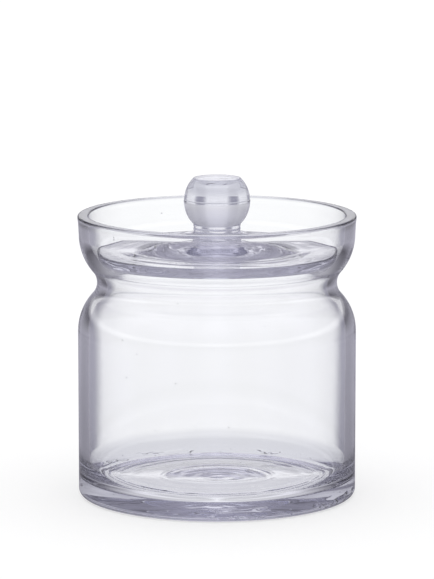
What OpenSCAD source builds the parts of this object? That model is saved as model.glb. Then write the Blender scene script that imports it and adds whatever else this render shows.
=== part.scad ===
// Waisted clear-glass specimen jar with a drop-in lid and a ball knob.
// The jar stands on Z = 0 and every piece is a body of revolution about Z. Millimetres.

/* [Jar] */
// Outside diameter of the straight wall
body_d = 130.5; // [120:0.5:160]
// Thickness of the glass in the wall, the waist and the collar
wall = 5; // [3.5:0.5:6.5]
// Height at which the straight wall ends and the shoulder begins
wall_h = 78; // [50:1:160]
// Thickness of the base, from the foot to the inside floor
base_t = 7.6; // [6:0.2:14]
// Width of the inside curve between the floor and the wall
floor_curve_w = 6.5; // [3:0.5:12]
// Height of the inside curve between the floor and the wall
floor_curve_h = 12; // [3:0.5:16]
// Outside radius between the foot and the wall
heel_r = 3; // [1.5:0.5:5]
// Diameter of the ground and polished hollow under the base
punt_d = 50; // [20:1:70]
// Depth of the hollow under the base
punt_depth = 1.5; // [0.5:0.1:3]

/* [Waist and collar] */
// Outside diameter at the narrowest point of the waist
waist_d = 112.5; // [92:0.5:118]
// Outside radius of the hollow curve at the waist
waist_r = 9; // [7:0.5:14]
// Outside radius of the shoulder below the waist
shoulder_r = 24.5; // [18:0.5:32]
// Outside diameter of the collar above its curve
collar_d = 129.4; // [120:0.2:150]
// Outside radius of the collar's curve
collar_r = 26; // [20:0.5:32]
// Height of the straight lip above the collar's curve
lip_h = 9; // [5:0.5:16]
// How far the lip spreads outwards at the rim
lip_flare = 0.3; // [0:0.1:1]
// Radius of the fire-polished edges of the cut rim
rim_edge_r = 0.9; // [0.4:0.1:1.6]

/* [Lid] */
// How far the lid reaches out past the narrowest point inside the waist
seat_lap = 5.4; // [4:0.2:7]
// Free gap between the lid and its seat in the collar
seat_gap = 0.2; // [0.05:0.05:0.4]
// Thickness of the lid at its cut edge
lid_edge_t = 4; // [3:0.2:7]
// Width and height of the ground bevel at the lower edge of the lid
lid_bevel = 0.8; // [0.4:0.1:1.5]
// Radius of the polished upper edge of the lid
lid_edge_r = 0.6; // [0.3:0.1:1.2]
// Diameter of the mound at the middle of the lid
rise_d = 80; // [40:1:96]
// Height of the mound, up to the foot of the stem
rise_h = 7; // [1:0.5:9]

/* [Knob] */
// Diameter of the ball
ball_d = 31; // [25:0.5:40]
// Diameter at which the polished flat cuts the top of the ball
flat_d = 22; // [12:0.5:23]
// Radius of the edge round the polished flat
flat_edge_r = 1; // [0.5:0.1:2]
// Diameter of the stem
stem_d = 22; // [16:0.5:24]
// Height of the stem, from the mound to where it meets the ball
stem_h = 4.8; // [2:0.2:12]
// Radius of the foot of the stem, where it is fused to the lid
stem_foot_r = 1.2; // [0.5:0.1:2.5]
// Height of the mould line that stands out round the middle of the ball
mould_line_h = 0.12; // [0.05:0.01:0.3]
// Width of the mould line
mould_line_w = 0.5; // [0.2:0.1:1]

/* [Hidden] */
turn_fn = 192;
arc_steps = 12;
edge_steps = 6;
glass_tint = [0.84, 0.85, 0.9, 0.5];
knob_tint = [0.74, 0.75, 0.82, 0.6];

body_r = body_d / 2;
collar_top_r = collar_d / 2;
rim_r = collar_top_r + lip_flare;

// The shoulder, waist and collar are three arcs that run into each other without a corner.
shoulder_c = [body_r - shoulder_r, wall_h];
waist_x = waist_d / 2 + waist_r;
shoulder_turn = acos((waist_x - shoulder_c.x) / (shoulder_r + waist_r));
waist_c = shoulder_c + (shoulder_r + waist_r) * [cos(shoulder_turn), sin(shoulder_turn)];
collar_turn = acos((waist_x + collar_r - collar_top_r) / (waist_r + collar_r));
collar_c = waist_c + (waist_r + collar_r) * [-cos(collar_turn), sin(collar_turn)];
rim_z = collar_c.y + lip_h;

// The inside of the collar is one wall in from the outside. The lid rests a free gap away from it.
neck_r = waist_d / 2 - wall;
lid_r = neck_r + seat_lap;
waist_in_r = waist_r + wall;
collar_in_r = collar_r - wall;
waist_seat_r = waist_in_r + seat_gap;
collar_seat_r = collar_in_r - seat_gap;
collar_starts_at = waist_c.x - waist_seat_r * cos(collar_turn);
function seat_z(r) = r < collar_starts_at
    ? waist_c.y + sqrt(pow(waist_seat_r, 2) - pow(waist_c.x - r, 2))
    : collar_c.y - sqrt(pow(collar_seat_r, 2) - pow(r - collar_c.x, 2));
lid_z = max(seat_z(lid_r) - lid_bevel, seat_z(lid_r - lid_bevel));
lid_top_z = lid_z + lid_edge_t;
stem_z = lid_top_z + rise_h;
foot_r = stem_d / 2 + stem_foot_r;

ball_r = ball_d / 2;
stem_dip = sqrt(pow(ball_r, 2) - pow(stem_d / 2, 2));
ball_z = stem_z + stem_h + stem_dip;
flat_up = sqrt(pow(ball_r, 2) - pow(flat_d / 2, 2));

// Points on an arc about c, from angle a to angle b.
function arc(c, r, a, b, steps = arc_steps) =
    [for (i = [0 : steps]) let (t = a + (b - a) * i / steps) c + r * [cos(t), sin(t)]];

// An S-shaped rise from p to q that leaves and arrives level.
function level_rise(p, q, steps = arc_steps) =
    [for (i = [0 : steps]) let (t = i / steps)
        [p.x + (q.x - p.x) * t, p.y + (q.y - p.y) * (1 - cos(180 * t)) / 2]];

// The underside: the hollow, the flat foot ring and the heel.
function underside() =
    let (r = (pow(punt_d / 2, 2) + pow(punt_depth, 2)) / (2 * punt_depth))
    let (half = asin(punt_d / 2 / r))
    concat(
        arc([0, punt_depth - r], r, 90, 90 - half),
        arc([body_r - heel_r, heel_r], heel_r, -90, 0, edge_steps));

function outside() = concat(
    arc(shoulder_c, shoulder_r, 0, shoulder_turn),
    arc(waist_c, waist_r, 180 + shoulder_turn, 180 - collar_turn),
    arc(collar_c, collar_r, -collar_turn, 0));

function rim() = concat(
    arc([rim_r - rim_edge_r, rim_z - rim_edge_r], rim_edge_r, 0, 90, edge_steps),
    arc([rim_r - wall + rim_edge_r, rim_z - rim_edge_r], rim_edge_r, 90, 180, edge_steps));

function inside() = concat(
    arc(collar_c, collar_in_r, 0, -collar_turn),
    arc(waist_c, waist_in_r, 180 - collar_turn, 180 + shoulder_turn),
    arc(shoulder_c, shoulder_r - wall, shoulder_turn, 0));

// The inside curve is a quarter of an ellipse, from the wall down to the flat floor.
function floor_line() = concat(
    [for (p = arc([0, 0], 1, 0, -90))
        [body_r - wall - floor_curve_w * (1 - p.x), base_t + floor_curve_h * (1 + p.y)]],
    [[0, base_t]]);

module jar_body() {
    color(glass_tint)
        rotate_extrude($fn = turn_fn)
            polygon(concat(underside(), outside(), rim(), inside(), floor_line()));
}

module lid_plate() {
    color(glass_tint)
        rotate_extrude($fn = turn_fn)
            polygon(concat(
                [[0, lid_z], [lid_r - lid_bevel, lid_z], [lid_r, lid_z + lid_bevel]],
                arc([lid_r - lid_edge_r, lid_top_z - lid_edge_r], lid_edge_r, 0, 90, edge_steps),
                level_rise([rise_d / 2, lid_top_z], [foot_r, stem_z]),
                [[0, stem_z]]));
}

// The ball's outline from the stem up to the flat, with the mould line round its middle.
function ball_outline() =
    let (line_half = asin(mould_line_w / 2 / ball_r))
    let (low = -asin(stem_dip / ball_r))
    let (edge_up = flat_up - flat_edge_r)
    let (edge_c = [sqrt(pow(ball_r - flat_edge_r, 2) - pow(edge_up, 2)), edge_up])
    let (high = atan2(edge_c.y, edge_c.x))
    concat(
        arc([0, 0], ball_r, low, -line_half),
        arc([0, 0], ball_r + mould_line_h, -line_half / 2, line_half / 2, 2),
        arc([0, 0], ball_r, line_half, high),
        arc(edge_c, flat_edge_r, high, 90, edge_steps));

module lid_knob() {
    color(knob_tint)
        rotate_extrude($fn = turn_fn)
            polygon(concat(
                [[0, stem_z]],
                arc([foot_r, stem_z + stem_foot_r], stem_foot_r, 270, 180, edge_steps),
                [for (p = ball_outline()) p + [0, ball_z]],
                [[0, ball_z + flat_up]]));
}

jar_body();
lid_plate();
lid_knob();
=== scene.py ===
"""A waisted clear-glass specimen jar with a drop-in lid and a ball knob, on a plain pale floor.

Every piece of glass is turned on a lathe from an outline of arcs, given the small waves, rings and seeds
that hot working leaves, and rides on its CAD body. Outlines are in millimetres, and the scene in metres.
"""

import math

import bmesh
import bpy
import numpy as np
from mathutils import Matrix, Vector, noise


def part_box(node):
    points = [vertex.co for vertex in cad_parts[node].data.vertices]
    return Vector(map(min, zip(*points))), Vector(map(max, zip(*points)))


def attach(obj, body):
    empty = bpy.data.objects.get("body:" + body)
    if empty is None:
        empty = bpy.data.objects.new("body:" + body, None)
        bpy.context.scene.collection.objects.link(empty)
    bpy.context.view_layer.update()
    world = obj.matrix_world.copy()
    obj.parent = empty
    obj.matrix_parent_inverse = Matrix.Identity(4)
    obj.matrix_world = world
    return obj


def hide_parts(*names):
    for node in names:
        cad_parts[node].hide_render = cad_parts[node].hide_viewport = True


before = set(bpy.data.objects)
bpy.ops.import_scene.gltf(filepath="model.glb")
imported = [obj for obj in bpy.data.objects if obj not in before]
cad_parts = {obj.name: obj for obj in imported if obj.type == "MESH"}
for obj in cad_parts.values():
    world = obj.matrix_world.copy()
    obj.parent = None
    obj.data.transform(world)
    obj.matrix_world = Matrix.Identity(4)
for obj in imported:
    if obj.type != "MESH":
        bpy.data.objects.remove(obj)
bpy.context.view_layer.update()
MM = 0.001

# ---------------------------------------------------------------- sizes, in millimetres
jar_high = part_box("jar_body")[1]
plate_low, plate_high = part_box("lid_plate")
knob_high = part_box("lid_knob")[1]

BODY_R = jar_high.x / MM
RIM_Z = jar_high.z / MM
WALL = 5.0
WALL_H = 78.0
BASE_T = 7.6
FLOOR_CURVE_W = 6.5
FLOOR_CURVE_H = 12.0
FLOOR_R = BODY_R - WALL - FLOOR_CURVE_W
HEEL_R = 3.0
PUNT_R = 25.0
PUNT_DEPTH = 1.5
PUNT_STEPS = 12
# The floor's outline is drawn finely outside this radius, where its rings are narrow
FINE_FLOOR_R = 46.0

NECK_OUT_R = 56.25
WAIST_R = 9.0
SHOULDER_R = 24.5
COLLAR_TOP_R = 64.7
COLLAR_R = 26.0
RIM_R = 65.0
RIM_EDGE_R = 0.9
# The fire-polished lip swells a little: by how much, and how far below the rim the swell starts and is full
LIP_BEAD = 0.25
BEAD_STARTS = 3.4
BEAD_FULL = 1.6

PLATE_R = plate_high.x / MM
PLATE_LOW_Z = plate_low.z / MM
STEM_Z = plate_high.z / MM
PLATE_EDGE_T = 4.0
PLATE_BEVEL = 0.8
PLATE_EDGE_R = 0.6
MOUND_R = 40.0
STEM_R = 11.0
STEM_FOOT_R = 1.2
FOOT_R = STEM_R + STEM_FOOT_R
BALL_R = 15.5
FLAT_R = 11.0
FLAT_EDGE_R = 1.0
MOULD_LINE_H = 0.1
MOULD_LINE_HALF = 0.9
KNOB_TOP_Z = knob_high.z / MM
# The two faces of the fused joint are kept this far apart, so that no two faces share a plane
FUSED_GAP = 0.02


# ---------------------------------------------------------------- outlines
def arc(centre, radius, start, end, step=3.0):
    """Points on an arc about centre, from angle start to end in degrees, one at least every step degrees."""
    count = max(3, math.ceil(abs(end - start) / step) + 1)
    turn = np.radians(np.linspace(start, end, count))
    return np.column_stack([centre[0] + radius * np.cos(turn), centre[1] + radius * np.sin(turn)])


def line(start, end, step=1.6):
    """Points on a straight stretch, one at least every step millimetres."""
    count = max(2, math.ceil(math.dist(start, end) / step) + 1)
    return np.linspace(start, end, count)


def join(*stretches):
    """One outline from stretches that follow each other, without the points that they share."""
    points = np.vstack(stretches)
    apart = np.linalg.norm(np.diff(points, axis=0), axis=1) > 1e-4
    return points[np.concatenate([[True], apart])]


def jar_outline():
    """The jar's outline, from the middle of its underside round the rim to the middle of its floor."""
    punt_ball_r = (PUNT_R ** 2 + PUNT_DEPTH ** 2) / (2 * PUNT_DEPTH)
    punt_half = math.degrees(math.asin(PUNT_R / punt_ball_r))
    shoulder_c = np.array([BODY_R - SHOULDER_R, WALL_H])
    waist_x = NECK_OUT_R + WAIST_R
    shoulder_turn = math.degrees(math.acos((waist_x - shoulder_c[0]) / (SHOULDER_R + WAIST_R)))
    collar_turn = math.degrees(math.acos((waist_x + COLLAR_R - COLLAR_TOP_R) / (WAIST_R + COLLAR_R)))
    out = lambda angle: np.array([math.cos(math.radians(angle)), math.sin(math.radians(angle))])
    waist_c = shoulder_c + (SHOULDER_R + WAIST_R) * out(shoulder_turn)
    collar_c = waist_c + (WAIST_R + COLLAR_R) * out(180 - collar_turn)
    rim_in = RIM_R - WALL
    edge = RIM_EDGE_R
    bead_r = RIM_R + LIP_BEAD
    return join(
        arc((0, PUNT_DEPTH - punt_ball_r), punt_ball_r, 90, 90 - punt_half, punt_half / PUNT_STEPS),
        line((PUNT_R, 0), (BODY_R - HEEL_R, 0), 2.5),
        arc((BODY_R - HEEL_R, HEEL_R), HEEL_R, -90, 0, 7.5),
        line((BODY_R, HEEL_R), (BODY_R, WALL_H), 4.0),
        arc(shoulder_c, SHOULDER_R, 0, shoulder_turn, 3.5),
        arc(waist_c, WAIST_R, 180 + shoulder_turn, 180 - collar_turn, 4),
        arc(collar_c, COLLAR_R, -collar_turn, 0, 3.5),
        line((COLLAR_TOP_R, collar_c[1]), (RIM_R, RIM_Z - BEAD_STARTS)),
        line((RIM_R, RIM_Z - BEAD_STARTS), (bead_r, RIM_Z - BEAD_FULL), 0.4),
        arc((bead_r - edge, RIM_Z - edge), edge, 0, 90, 15),
        line((bead_r - edge, RIM_Z), (rim_in + edge, RIM_Z), 0.8),
        arc((rim_in + edge, RIM_Z - edge), edge, 90, 180, 15),
        line((rim_in, RIM_Z - edge), (COLLAR_TOP_R - WALL, collar_c[1])),
        arc(collar_c, COLLAR_R - WALL, 0, -collar_turn),
        arc(waist_c, WAIST_R + WALL, 180 - collar_turn, 180 + shoulder_turn, 4),
        arc(shoulder_c, SHOULDER_R - WALL, shoulder_turn, 0),
        line((BODY_R - WALL, WALL_H), (BODY_R - WALL, BASE_T + FLOOR_CURVE_H), 3.0),
        arc((0, 0), 1, 0, -90, 3) * (FLOOR_CURVE_W, FLOOR_CURVE_H) + (FLOOR_R, BASE_T + FLOOR_CURVE_H),
        line((FLOOR_R, BASE_T), (FINE_FLOOR_R, BASE_T), 0.25),
        line((FINE_FLOOR_R, BASE_T), (0, BASE_T), 0.9),
    )


def plate_outline():
    """The lid plate's outline, from the middle of its lower face round the edge to the middle of its top."""
    top = PLATE_LOW_Z + PLATE_EDGE_T
    rise_x = np.linspace(MOUND_R, FOOT_R, 36)
    share = (1 - np.cos(math.pi * (MOUND_R - rise_x) / (MOUND_R - FOOT_R))) / 2
    rise = np.column_stack([rise_x, top + (STEM_Z - FUSED_GAP - top) * share])
    return join(
        line((0, PLATE_LOW_Z), (PLATE_R - PLATE_BEVEL, PLATE_LOW_Z), 0.9),
        line((PLATE_R - PLATE_BEVEL, PLATE_LOW_Z), (PLATE_R, PLATE_LOW_Z + PLATE_BEVEL), 0.3),
        line((PLATE_R, PLATE_LOW_Z + PLATE_BEVEL), (PLATE_R, top - PLATE_EDGE_R), 0.5),
        arc((PLATE_R - PLATE_EDGE_R, top - PLATE_EDGE_R), PLATE_EDGE_R, 0, 90, 15),
        line((PLATE_R - PLATE_EDGE_R, top), (MOUND_R, top), 0.9),
        rise,
        line((FOOT_R, STEM_Z - FUSED_GAP), (0, STEM_Z - FUSED_GAP), 1.2),
    )


def knob_outline():
    """The knob's outline, from the middle of its foot up the stem and round the ball to the flat on top."""
    stem_dip = math.sqrt(BALL_R ** 2 - STEM_R ** 2)
    flat_up = math.sqrt(BALL_R ** 2 - FLAT_R ** 2)
    ball_z = KNOB_TOP_Z - flat_up
    edge_up = flat_up - FLAT_EDGE_R
    edge_x = math.sqrt((BALL_R - FLAT_EDGE_R) ** 2 - edge_up ** 2)
    low = -math.degrees(math.asin(stem_dip / BALL_R))
    high = math.degrees(math.atan2(edge_up, edge_x))
    seam = MOULD_LINE_HALF
    return join(
        line((0, STEM_Z), (FOOT_R, STEM_Z), 1.2),
        arc((FOOT_R, STEM_Z + STEM_FOOT_R), STEM_FOOT_R, 270, 180, 10),
        line((STEM_R, STEM_Z + STEM_FOOT_R), (STEM_R, ball_z - stem_dip), 0.5),
        arc((0, ball_z), BALL_R, low, -seam, 2),
        arc((0, ball_z), BALL_R + MOULD_LINE_H, -seam / 2, seam / 2, 0.3),
        arc((0, ball_z), BALL_R, seam, high, 2),
        arc((edge_x, ball_z + edge_up), FLAT_EDGE_R, high, 90, 10),
        line((edge_x, KNOB_TOP_Z), (0, KNOB_TOP_Z), 0.8),
    )


# ---------------------------------------------------------------- lathe
def lathe(name, outline, turns, relief):
    """Turns an outline about Z into a closed mesh. relief() moves each point along its outline's normal."""
    along = np.gradient(outline, axis=0)
    along /= np.linalg.norm(along, axis=1)[:, None]
    normals = np.column_stack([along[:, 1], -along[:, 0]])
    mesh = bpy.data.meshes.new(name)
    work = bmesh.new()
    rings = []
    for (r, z), (nr, nz) in zip(outline, normals):
        if r < 1e-6:
            rings.append([work.verts.new((0, 0, z * MM))])
            continue
        ring = []
        for step in range(turns):
            angle = 2 * math.pi * step / turns
            push = relief(r, z, angle, nr, nz)
            rr, zz = (r + push * nr) * MM, (z + push * nz) * MM
            ring.append(work.verts.new((rr * math.cos(angle), rr * math.sin(angle), zz)))
        rings.append(ring)
    for low, high in zip(rings, rings[1:]):
        for step in range(turns):
            after = (step + 1) % turns
            if len(low) == 1:
                work.faces.new((low[0], high[after], high[step]))
            elif len(high) == 1:
                work.faces.new((low[step], low[after], high[0]))
            else:
                work.faces.new((low[step], low[after], high[after], high[step]))
    bmesh.ops.recalc_face_normals(work, faces=work.faces)
    for face in work.faces:
        face.smooth = True
    work.to_mesh(mesh)
    work.free()
    piece = bpy.data.objects.new(name, mesh)
    bpy.context.scene.collection.objects.link(piece)
    return piece


def ripple(x, y, z, size, seed):
    """Smooth noise from -1 to 1 whose waves are about size millimetres long."""
    return noise.noise(Vector((x / size + seed, y / size - seed, z / size + 2 * seed)))


# The wavy oval in the middle of the floor
OVAL_R = 25.0
# The rings that the tool left round the inner floor: radius, width and depth
FLOOR_RINGS = (
    (52.4, 0.6, 0.30), (50.6, 0.7, -0.20), (48.6, 0.8, 0.14), (46.2, 0.9, -0.07),
    (43.4, 1.2, 0.06), (40.4, 1.6, -0.04), (26.5, 1.0, 0.16),
)


def floor_relief(x, y, r):
    """The inner floor: fine rings towards the wall, a wavy oval in the middle and calm glass between them."""
    inward = max(0.0, FLOOR_RINGS[0][0] - r)
    warp = 0.3 * ripple(x, y, 0, 60, 4.1) + 0.06 * inward * ripple(x, y, 0, 34, 8.3)
    rings = sum(depth * math.exp(-((r + warp - place) / width) ** 2) for place, width, depth in FLOOR_RINGS)
    middle = 1 / (1 + math.exp(min(60.0, (r + 2 * warp - OVAL_R) / 0.7)))
    circles = 0.05 * math.sin(r * 0.9 + 3.0 * ripple(x, y, 0, 17, 3.7))
    waves = 0.09 * ripple(x * 0.35, y * 0.9, 0, 9, 2.7) + circles
    calm = 0.02 * ripple(x, y, 0, 13, 5.9)
    return (rings + waves * middle + calm) * min(1.0, max(0.0, (FLOOR_R - r) / 0.4))


def foot_relief(x, y, r):
    """The underside: flat where it is ground, with soft hollows where the glass chilled."""
    mark = max(0.0, ripple(x * 0.6, y * 0.6, 0, 13, 3.3) - 0.28) ** 1.3
    return -(0.8 * mark + 0.01 * ripple(x, y, 0, 7, 7.1)) * min(1.0, max(0.0, (60.0 - r) / 3))


def jar_relief(r, z, angle, nr, nz):
    """The jar: slow waves, deeper on the inside and calmer towards the base, and bands round the waist."""
    x, y = r * math.cos(angle), r * math.sin(angle)
    if nz > 0.9 and abs(z - BASE_T) < 0.6:
        return floor_relief(x, y, r)
    if nz < -0.9:
        return foot_relief(x, y, r)
    inside = nr < 0
    if z > RIM_Z - BEAD_STARTS - 0.6 and not inside:
        return 0.0
    deep = 0.09 * min(1.0, max(0.0, z - 20) / 30) if inside else 0.03 * min(1.0, z / 20)
    bands = 0.03 * ripple(0, 0, z, 7, 5.5) if 84 < z < 118 else 0.0
    low = max(0.0, 1 - abs(z - 13) / 12)
    streaks = 0.006 * low * math.sin(z * 1.6 + 3 * ripple(x, y, 0, 60, 6.6)) if inside else 0.0
    return deep * ripple(x, y, z * 0.45, 24, 1.9) + bands * (1 if inside else 0.5) + streaks


def plate_relief(r, z, angle, nr, nz):
    """The plate: a nearly flat underside, a rough foot of the mound and a low step half-way out."""
    x, y = r * math.cos(angle), r * math.sin(angle)
    if r > PLATE_R - 3 and abs(nz) < 0.9:
        return 0.05 * ripple(x, y, z * 5, 6, 9.2)
    if nz > 0 and r < FOOT_R + 1:
        return 0.0
    fade = min(1.0, max(0.0, (PLATE_R - 2.0 - r) / 4))
    if nz < 0:
        return (0.05 * ripple(x, y, 0, 19, 1.2) + 0.02 * ripple(x, y, 0, 8, 3.9)) * fade
    near = math.exp(-((r - 19) / 7.0) ** 2)
    rough = near * (0.22 * ripple(x, y, 0, 6, 7.7) + 0.10 * math.sin(2.0 * r + 5 * ripple(x, y, 0, 12, 2.2)))
    step = 0.10 / (1 + math.exp((r + 2.2 * ripple(x, y, 0, 26, 5.1) - 43) / 0.5))
    far = 0.05 * math.sin(0.8 * r + 5 * ripple(x, y, 0, 30, 4.6)) if r > 45 else 0.0
    return (rough + step + far + 0.03 * ripple(x, y, 0, 15, 7.7)) * fade


def knob_relief(r, z, angle, nr, nz):
    """The knob: a slightly uneven ball, and fine rings up the stem where it was drawn out."""
    if z < STEM_Z + 0.2 or z > KNOB_TOP_Z - 0.3:
        return 0.0
    x, y = r * math.cos(angle), r * math.sin(angle)
    stem = 0.09 * math.sin(3.6 * z + 1.5 * ripple(x, y, z, 8, 2.9)) if r < STEM_R + 0.6 and nr > 0.7 else 0.0
    return -0.03 + 0.03 * ripple(x, y, z, 9, 4.4) + stem


# ---------------------------------------------------------------- seeds, the tiny bubbles in the glass
# The smallest and the largest seed, as shares of the radius that is asked for
SEED_SIZES = (0.35, 1.0)


def seeds_tree():
    """Scatters small hollow spheres in the middle of the glass under a surface, each facing its own air."""
    tree = bpy.data.node_groups.new("seeds_in_glass", "GeometryNodeTree")
    face = tree.interface
    face.new_socket("Geometry", in_out="INPUT", socket_type="NodeSocketGeometry")
    for name, kind in (("Density", "Float"), ("Radius", "Float"), ("Depth", "Float"), ("Seed", "Int"),
                       ("Material", "Material")):
        face.new_socket(name, in_out="INPUT", socket_type="NodeSocket" + kind)
    face.new_socket("Geometry", in_out="OUTPUT", socket_type="NodeSocketGeometry")
    given = tree.nodes.new("NodeGroupInput").outputs
    points = node(tree, "GeometryNodeDistributePointsOnFaces", Mesh=given["Geometry"],
                  Density=given["Density"], Seed=given["Seed"])
    inward = tree.nodes.new("ShaderNodeVectorMath")
    inward.operation = "SCALE"
    tree.links.new(points.outputs["Normal"], inward.inputs[0])
    tree.links.new(calc(tree, "MULTIPLY", given["Depth"], -1.0), inward.inputs["Scale"])
    placed = node(tree, "GeometryNodeSetPosition", Geometry=points.outputs["Points"],
                  Offset=inward.outputs[0])
    bubble = node(tree, "GeometryNodeMeshIcoSphere", Radius=given["Radius"], Subdivisions=2)
    size = tree.nodes.new("FunctionNodeRandomValue")
    size.data_type = "FLOAT"
    limits = (socket for socket in size.inputs if socket.type == "VALUE" and socket.name in ("Min", "Max"))
    for socket, limit in zip(limits, SEED_SIZES):
        socket.default_value = limit
    tree.links.new(given["Seed"], size.inputs["Seed"])
    grown = next(socket for socket in size.outputs if socket.type == "VALUE")
    many = node(tree, "GeometryNodeInstanceOnPoints", Points=placed.outputs[0], Instance=bubble.outputs[0],
                Scale=grown)
    real = node(tree, "GeometryNodeRealizeInstances", Geometry=many.outputs[0])
    hollow = node(tree, "GeometryNodeFlipFaces", Mesh=real.outputs[0])
    smooth = node(tree, "GeometryNodeSetShadeSmooth", Geometry=hollow.outputs[0])
    done = node(tree, "GeometryNodeSetMaterial", Geometry=smooth.outputs[0], Material=given["Material"])
    tree.links.new(done.outputs[0], tree.nodes.new("NodeGroupOutput").inputs[0])
    return tree


def add_seeds(piece, tree, material, **sizes):
    """Puts seeds into a piece's own mesh, so that they stay one piece with its glass."""
    modifier = piece.modifiers.new("seeds", "NODES")
    modifier.node_group = tree
    sizes["Material"] = material
    for item in tree.interface.items_tree:
        if item.in_out == "INPUT" and item.name in sizes:
            modifier[item.identifier] = sizes[item.name]
    evaluated = piece.evaluated_get(bpy.context.evaluated_depsgraph_get())
    seeds = bpy.data.meshes.new_from_object(evaluated)
    piece.modifiers.remove(modifier)
    work = bmesh.new()
    work.from_mesh(piece.data)
    work.from_mesh(seeds)
    for made in work.faces:
        made.material_index = 0
    work.to_mesh(piece.data)
    work.free()
    bpy.data.meshes.remove(seeds)


# ---------------------------------------------------------------- materials
def new_tree(owner):
    owner.use_nodes = True
    owner.node_tree.nodes.clear()
    return owner.node_tree


def node(tree, kind, **inputs):
    """Adds a node. Inputs go by name, with _ for a space, or as i and a number; settings start with set_."""
    made = tree.nodes.new(kind)
    for key, value in inputs.items():
        if key.startswith("set_"):
            setattr(made, key[4:], value)
    for key, value in inputs.items():
        if key.startswith("set_"):
            continue
        numbered = key[0] == "i" and key[1:].isdigit()
        socket = made.inputs[int(key[1:]) if numbered else key.replace("_", " ")]
        if isinstance(value, bpy.types.NodeSocket):
            tree.links.new(value, socket)
        else:
            socket.default_value = value
    return made


def calc(tree, operation, *values):
    """The result of a Math node on sockets or numbers."""
    made = tree.nodes.new("ShaderNodeMath")
    made.operation = operation
    for socket, value in zip(made.inputs, values):
        if isinstance(value, bpy.types.NodeSocket):
            tree.links.new(value, socket)
        else:
            socket.default_value = value
    return made.outputs[0]


def from_axis(tree, xyz):
    """Distance from Z of a point whose parts come from a Separate XYZ node."""
    squares = (calc(tree, "POWER", xyz.outputs[part], 2.0) for part in (0, 1))
    return calc(tree, "SQRT", calc(tree, "ADD", *squares))


def chill_marks(tree, place, smooth):
    """Crisp wrinkles that a cold marver leaves round the heel, laid over a smooth normal."""
    flat = node(tree, "ShaderNodeMapping", Vector=place, Scale=(1, 1, 3))
    patches = node(tree, "ShaderNodeTexNoise", Vector=flat.outputs[0], Scale=46.0, Detail=3.0, Roughness=0.6)
    edge = node(tree, "ShaderNodeMapRange", set_interpolation_type="SMOOTHSTEP", Value=patches.outputs[0],
                From_Min=0.56, From_Max=0.60)
    xyz = node(tree, "ShaderNodeSeparateXYZ", Vector=place)
    outer = calc(tree, "GREATER_THAN", from_axis(tree, xyz), (BODY_R - 0.8) * MM)
    low = node(tree, "ShaderNodeMapRange", set_interpolation_type="SMOOTHSTEP", Value=xyz.outputs[2],
               From_Min=BASE_T * MM, From_Max=0.5 * BASE_T * MM)
    marks = calc(tree, "MULTIPLY", edge.outputs[0], calc(tree, "MULTIPLY", outer, low.outputs[0]))
    return node(tree, "ShaderNodeBump", Strength=0.95, Distance=0.0008, Height=marks,
                Normal=smooth.outputs[0])


def fused_joint(tree, place, joint_z, surface):
    """Where knob and plate are melted into each other at joint_z, light passes straight through the face."""
    xyz = node(tree, "ShaderNodeSeparateXYZ", Vector=place)
    off = calc(tree, "ABSOLUTE", calc(tree, "SUBTRACT", xyz.outputs[2], joint_z * MM))
    joined = calc(tree, "MULTIPLY", calc(tree, "LESS_THAN", off, FUSED_GAP * MM / 4),
                  calc(tree, "LESS_THAN", from_axis(tree, xyz), FOOT_R * MM))
    clear = node(tree, "ShaderNodeBsdfTransparent")
    return node(tree, "ShaderNodeMixShader", Fac=joined, i1=surface.outputs[0], i2=clear.outputs[0])


def glass(name, density, wave, seed, chill=False, joint_z=None):
    """Clear glass: faint colour in its depth, fine waves and a breath of polish marks on its surface."""
    material = bpy.data.materials.new(name)
    tree = new_tree(material)
    place = node(tree, "ShaderNodeTexCoord").outputs["Object"]
    shift = node(tree, "ShaderNodeMapping", Vector=place, Location=(seed, seed * 0.7, 0), Scale=(1, 1, 0.6))
    waves = node(tree, "ShaderNodeTexNoise", Vector=shift.outputs[0], Scale=90.0, Detail=2.0, Roughness=0.4)
    polish = node(tree, "ShaderNodeTexNoise", Vector=shift.outputs[0], Scale=900.0, Detail=3.0, Roughness=0.6)
    height = calc(tree, "ADD", waves.outputs[0], calc(tree, "MULTIPLY", polish.outputs[0], 0.008))
    bump = node(tree, "ShaderNodeBump", Strength=wave, Distance=0.001, Height=height)
    if chill:
        bump = chill_marks(tree, place, bump)
    cloud = node(tree, "ShaderNodeTexNoise", Vector=shift.outputs[0], Scale=30.0, Detail=2.0)
    tone = node(tree, "ShaderNodeMix", set_data_type="RGBA", Factor=cloud.outputs[0],
                i6=(0.985, 0.985, 1.0, 1), i7=(1.0, 1.0, 1.0, 1))
    haze = node(tree, "ShaderNodeMapRange", Value=polish.outputs[0], From_Min=0.62, From_Max=0.9, To_Max=0.03)
    shader = node(tree, "ShaderNodeBsdfPrincipled", IOR=1.52, Base_Color=tone.outputs[2],
                  Roughness=haze.outputs[0], Normal=bump.outputs[0], Transmission_Weight=1.0)
    if joint_z is not None:
        shader = fused_joint(tree, place, joint_z, shader)
    depth = node(tree, "ShaderNodeVolumeAbsorption", Color=DEPTH_TINT, Density=density)
    out = node(tree, "ShaderNodeOutputMaterial", Surface=shader.outputs[0])
    tree.links.new(depth.outputs[0], out.inputs["Volume"])
    return material


# ---------------------------------------------------------------- studio
CAMERA_WHITE = 1.06
PANELS = 8
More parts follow.
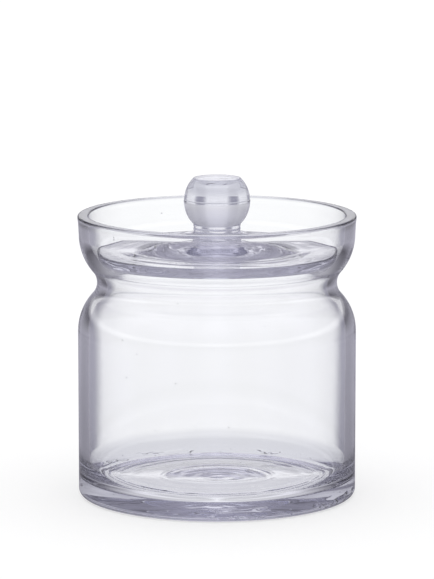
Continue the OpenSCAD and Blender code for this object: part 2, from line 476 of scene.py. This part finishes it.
# Brightness of the studio as the glass gathers it, by the height of the direction in degrees. Light that
# passes straight through the glass meets a panel or the gap between two; light thrown back inside it meets
# the rest.
PANEL = (
    (-90, (0.86, 0.87, 0.90)), (-45, (0.80, 0.81, 0.84)), (-22, (0.78, 0.79, 0.82)),
    (-17, (0.90, 0.91, 0.93)), (-12, (1.04, 1.05, 1.05)), (-6, (1.06, 1.07, 1.07)),
    (0, (0.96, 0.96, 0.98)), (5, (0.88, 0.88, 0.92)), (15, (0.78, 0.78, 0.84)),
    (27, (0.64, 0.64, 0.70)), (50, (0.46, 0.46, 0.51)), (90, (0.40, 0.40, 0.45)),
)
GAP = (
    (-90, (0.36, 0.355, 0.41)), (-45, (0.27, 0.265, 0.31)), (-22, (0.28, 0.275, 0.32)),
    (-9.5, (0.38, 0.38, 0.45)), (0, (0.35, 0.35, 0.41)), (12, (0.36, 0.355, 0.42)),
    (27, (0.26, 0.255, 0.30)), (90, (0.20, 0.195, 0.23)),
)
THROWN_BACK = (
    (-90, (0.92, 0.93, 0.96)), (-45, (0.78, 0.78, 0.84)), (-24, (0.30, 0.295, 0.34)),
    (-16, (0.14, 0.135, 0.16)), (-9.5, (0.50, 0.49, 0.57)), (-3, (0.34, 0.335, 0.38)),
    (3, (0.12, 0.115, 0.14)), (6, (0.46, 0.45, 0.52)), (7.5, (1.02, 1.02, 1.05)),
    (12, (1.02, 1.02, 1.05)), (15, (0.40, 0.39, 0.45)), (24, (0.40, 0.39, 0.46)),
    (45, (0.74, 0.73, 0.84)), (90, (0.95, 0.96, 1.02)),
)
# Light that has only been through the knob or the back of the collar meets a softer, dimmer room.
CORNER_DIM = 0.14
SINGLE_SOFT = 0.78
# Light from lower than this, in degrees, meets the softer room too
STEEP = -12.6


def blend_colours(tree, factor, first, second):
    """A colour between two, each of them a socket."""
    mix = node(tree, "ShaderNodeMix", set_data_type="RGBA", i0=factor, i6=first, i7=second)
    return mix.outputs[2]


def ramp(tree, value, low, high, stops):
    """A colour ramp whose stops are given in the value's own units, from low to high."""
    share = calc(tree, "DIVIDE", calc(tree, "SUBTRACT", value, low), high - low)
    made = node(tree, "ShaderNodeValToRGB", Fac=share)
    elements = made.color_ramp.elements
    while len(elements) < len(stops):
        elements.new(0.5)
    for element, (place, colour) in zip(elements, stops):
        element.position = (place - low) / (high - low)
        element.color = (*colour, 1)
    return made.outputs[0]


def by_eye(tree, path):
    """1 for light that reaches the eye or lights the floor directly, and 0 for light that glass gathers."""
    return calc(tree, "MAXIMUM", path.outputs["Is Camera Ray"], path.outputs["Is Diffuse Ray"])


def build_world():
    world = bpy.data.worlds.new("studio")
    bpy.context.scene.world = world
    tree = new_tree(world)
    path = node(tree, "ShaderNodeLightPath")
    ray = node(tree, "ShaderNodeTexCoord").outputs["Generated"]
    xyz = node(tree, "ShaderNodeSeparateXYZ", Vector=ray)
    height = calc(tree, "DEGREES", calc(tree, "ARCSINE", xyz.outputs[2]))
    around = calc(tree, "MULTIPLY", calc(tree, "ARCTAN2", xyz.outputs[1], xyz.outputs[0]), float(PANELS))
    wave = calc(tree, "MULTIPLY_ADD", calc(tree, "COSINE", around), 0.5, 0.5)
    single = calc(tree, "LESS_THAN", path.outputs["Transmission Depth"], 2.5)
    even = calc(tree, "MAXIMUM", single, calc(tree, "LESS_THAN", height, STEEP))
    soft = node(tree, "ShaderNodeMapRange", set_interpolation_type="SMOOTHSTEP", Value=wave, From_Max=0.55,
                To_Min=calc(tree, "MULTIPLY", even, SINGLE_SOFT)).outputs[0]
    panel, gap, back = (ramp(tree, height, -90.0, 90.0, stops) for stops in (PANEL, GAP, THROWN_BACK))
    thrown = calc(tree, "MINIMUM", path.outputs["Glossy Depth"], 1.0)
    lit = blend_colours(tree, thrown, blend_colours(tree, soft, gap, panel), back)
    corner = calc(tree, "MULTIPLY_ADD", calc(tree, "COSINE", calc(tree, "DIVIDE", around, 2.0)), CORNER_DIM,
                  -CORNER_DIM)
    keep = calc(tree, "MULTIPLY_ADD", single, corner, 1.0)
    swing = calc(tree, "MULTIPLY", thrown, calc(tree, "MULTIPLY_ADD", wave, 0.2, -0.1))
    gathered = node(tree, "ShaderNodeBackground", Color=lit, Strength=calc(tree, "ADD", keep, swing))
    plain = node(tree, "ShaderNodeBackground", Color=(1, 1, 1, 1), Strength=CAMERA_WHITE)
    both = node(tree, "ShaderNodeMixShader", Fac=by_eye(tree, path), i1=gathered.outputs[0],
                i2=plain.outputs[0])
    node(tree, "ShaderNodeOutputWorld", Surface=both.outputs[0])


def build_floor():
    """A pale table lit from below: plain to the eye, and clear to the light that the glass gathers."""
    radius, turns, below = 4.0, 96, 0.0003
    mesh = bpy.data.meshes.new("floor")
    angles = [2 * math.pi * step / turns for step in range(turns)]
    corners = [(radius * math.cos(angle), radius * math.sin(angle), -below) for angle in angles]
    mesh.from_pydata(corners, [], [list(range(turns))])
    floor = bpy.data.objects.new("floor", mesh)
    bpy.context.scene.collection.objects.link(floor)
    material = bpy.data.materials.new("pale_floor")
    tree = new_tree(material)
    path = node(tree, "ShaderNodeLightPath")
    glow = node(tree, "ShaderNodeEmission", Color=(1, 1, 1, 1), Strength=0.55)
    matt = node(tree, "ShaderNodeBsdfDiffuse", Color=(0.5, 0.5, 0.5, 1))
    plain = node(tree, "ShaderNodeAddShader", i0=glow.outputs[0], i1=matt.outputs[0])
    clear = node(tree, "ShaderNodeBsdfTransparent")
    side = node(tree, "ShaderNodeNewGeometry").outputs["Backfacing"]
    seen = calc(tree, "MULTIPLY", by_eye(tree, path), calc(tree, "SUBTRACT", 1.0, side))
    both = node(tree, "ShaderNodeMixShader", Fac=seen, i1=clear.outputs[0], i2=plain.outputs[0])
    node(tree, "ShaderNodeOutputMaterial", Surface=both.outputs[0])
    material.cycles.emission_sampling = "NONE"
    mesh.materials.append(material)


def build_camera():
    """The camera looks down at the jar from the front, through a long lens, and is aimed at its axis."""
    lens, reach, tilt, aim_z = 238.64, 1.8, math.radians(9.548), 0.097016
    data = bpy.data.cameras.new("camera")
    data.lens = lens
    data.sensor_width = 36
    data.clip_end = 50
    camera = bpy.data.objects.new("camera", data)
    camera.location = (0, -reach * math.cos(tilt), aim_z + reach * math.sin(tilt))
    camera.rotation_euler = (math.pi / 2 - tilt, 0, 0)
    bpy.context.scene.collection.objects.link(camera)
    bpy.context.scene.camera = camera


def set_up_render():
    scene = bpy.context.scene
    scene.view_settings.view_transform = "Standard"
    scene.cycles.max_bounces = 40
    scene.cycles.transmission_bounces = 40
    scene.cycles.glossy_bounces = 24
    scene.cycles.transparent_max_bounces = 32


# ---------------------------------------------------------------- the jar
# Tint of the glass, and how strongly its depth takes on that tint
DEPTH_TINT = (0.72, 0.72, 0.80, 1)
DEPTH = 11.0
KNOB_DEPTH = 24.0

# Each glass: how strongly its depth is tinted, how wavy its surface is and where its pattern starts
blown_glass = glass("blown_glass", DEPTH, 0.02, 0.3, chill=True)
pressed_glass = glass("pressed_glass", DEPTH, 0.03, 0.9, joint_z=STEM_Z - FUSED_GAP)
knob_glass = glass("knob_glass", KNOB_DEPTH, 0.03, 1.4, joint_z=STEM_Z)


def finish_piece(piece, body, node_name, material):
    piece.data.materials.append(material)
    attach(piece, body)
    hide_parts(node_name)


jar = lathe("blown_jar", jar_outline(), 288, jar_relief)
plate = lathe("lid_disc", plate_outline(), 256, plate_relief)
knob = lathe("ball_knob", knob_outline(), 192, knob_relief)
seeds = seeds_tree()
# Seeds to a square metre of surface, their radius, and how deep they lie in the glass
add_seeds(jar, seeds, blown_glass, Density=420.0, Radius=0.00032, Depth=0.0024, Seed=7)
add_seeds(plate, seeds, pressed_glass, Density=300.0, Radius=0.00026, Depth=0.0016, Seed=3)
finish_piece(jar, "jar", "jar_body", blown_glass)
finish_piece(plate, "lid", "lid_plate", pressed_glass)
finish_piece(knob, "lid", "lid_knob", knob_glass)

build_world()
build_floor()
build_camera()
set_up_render()
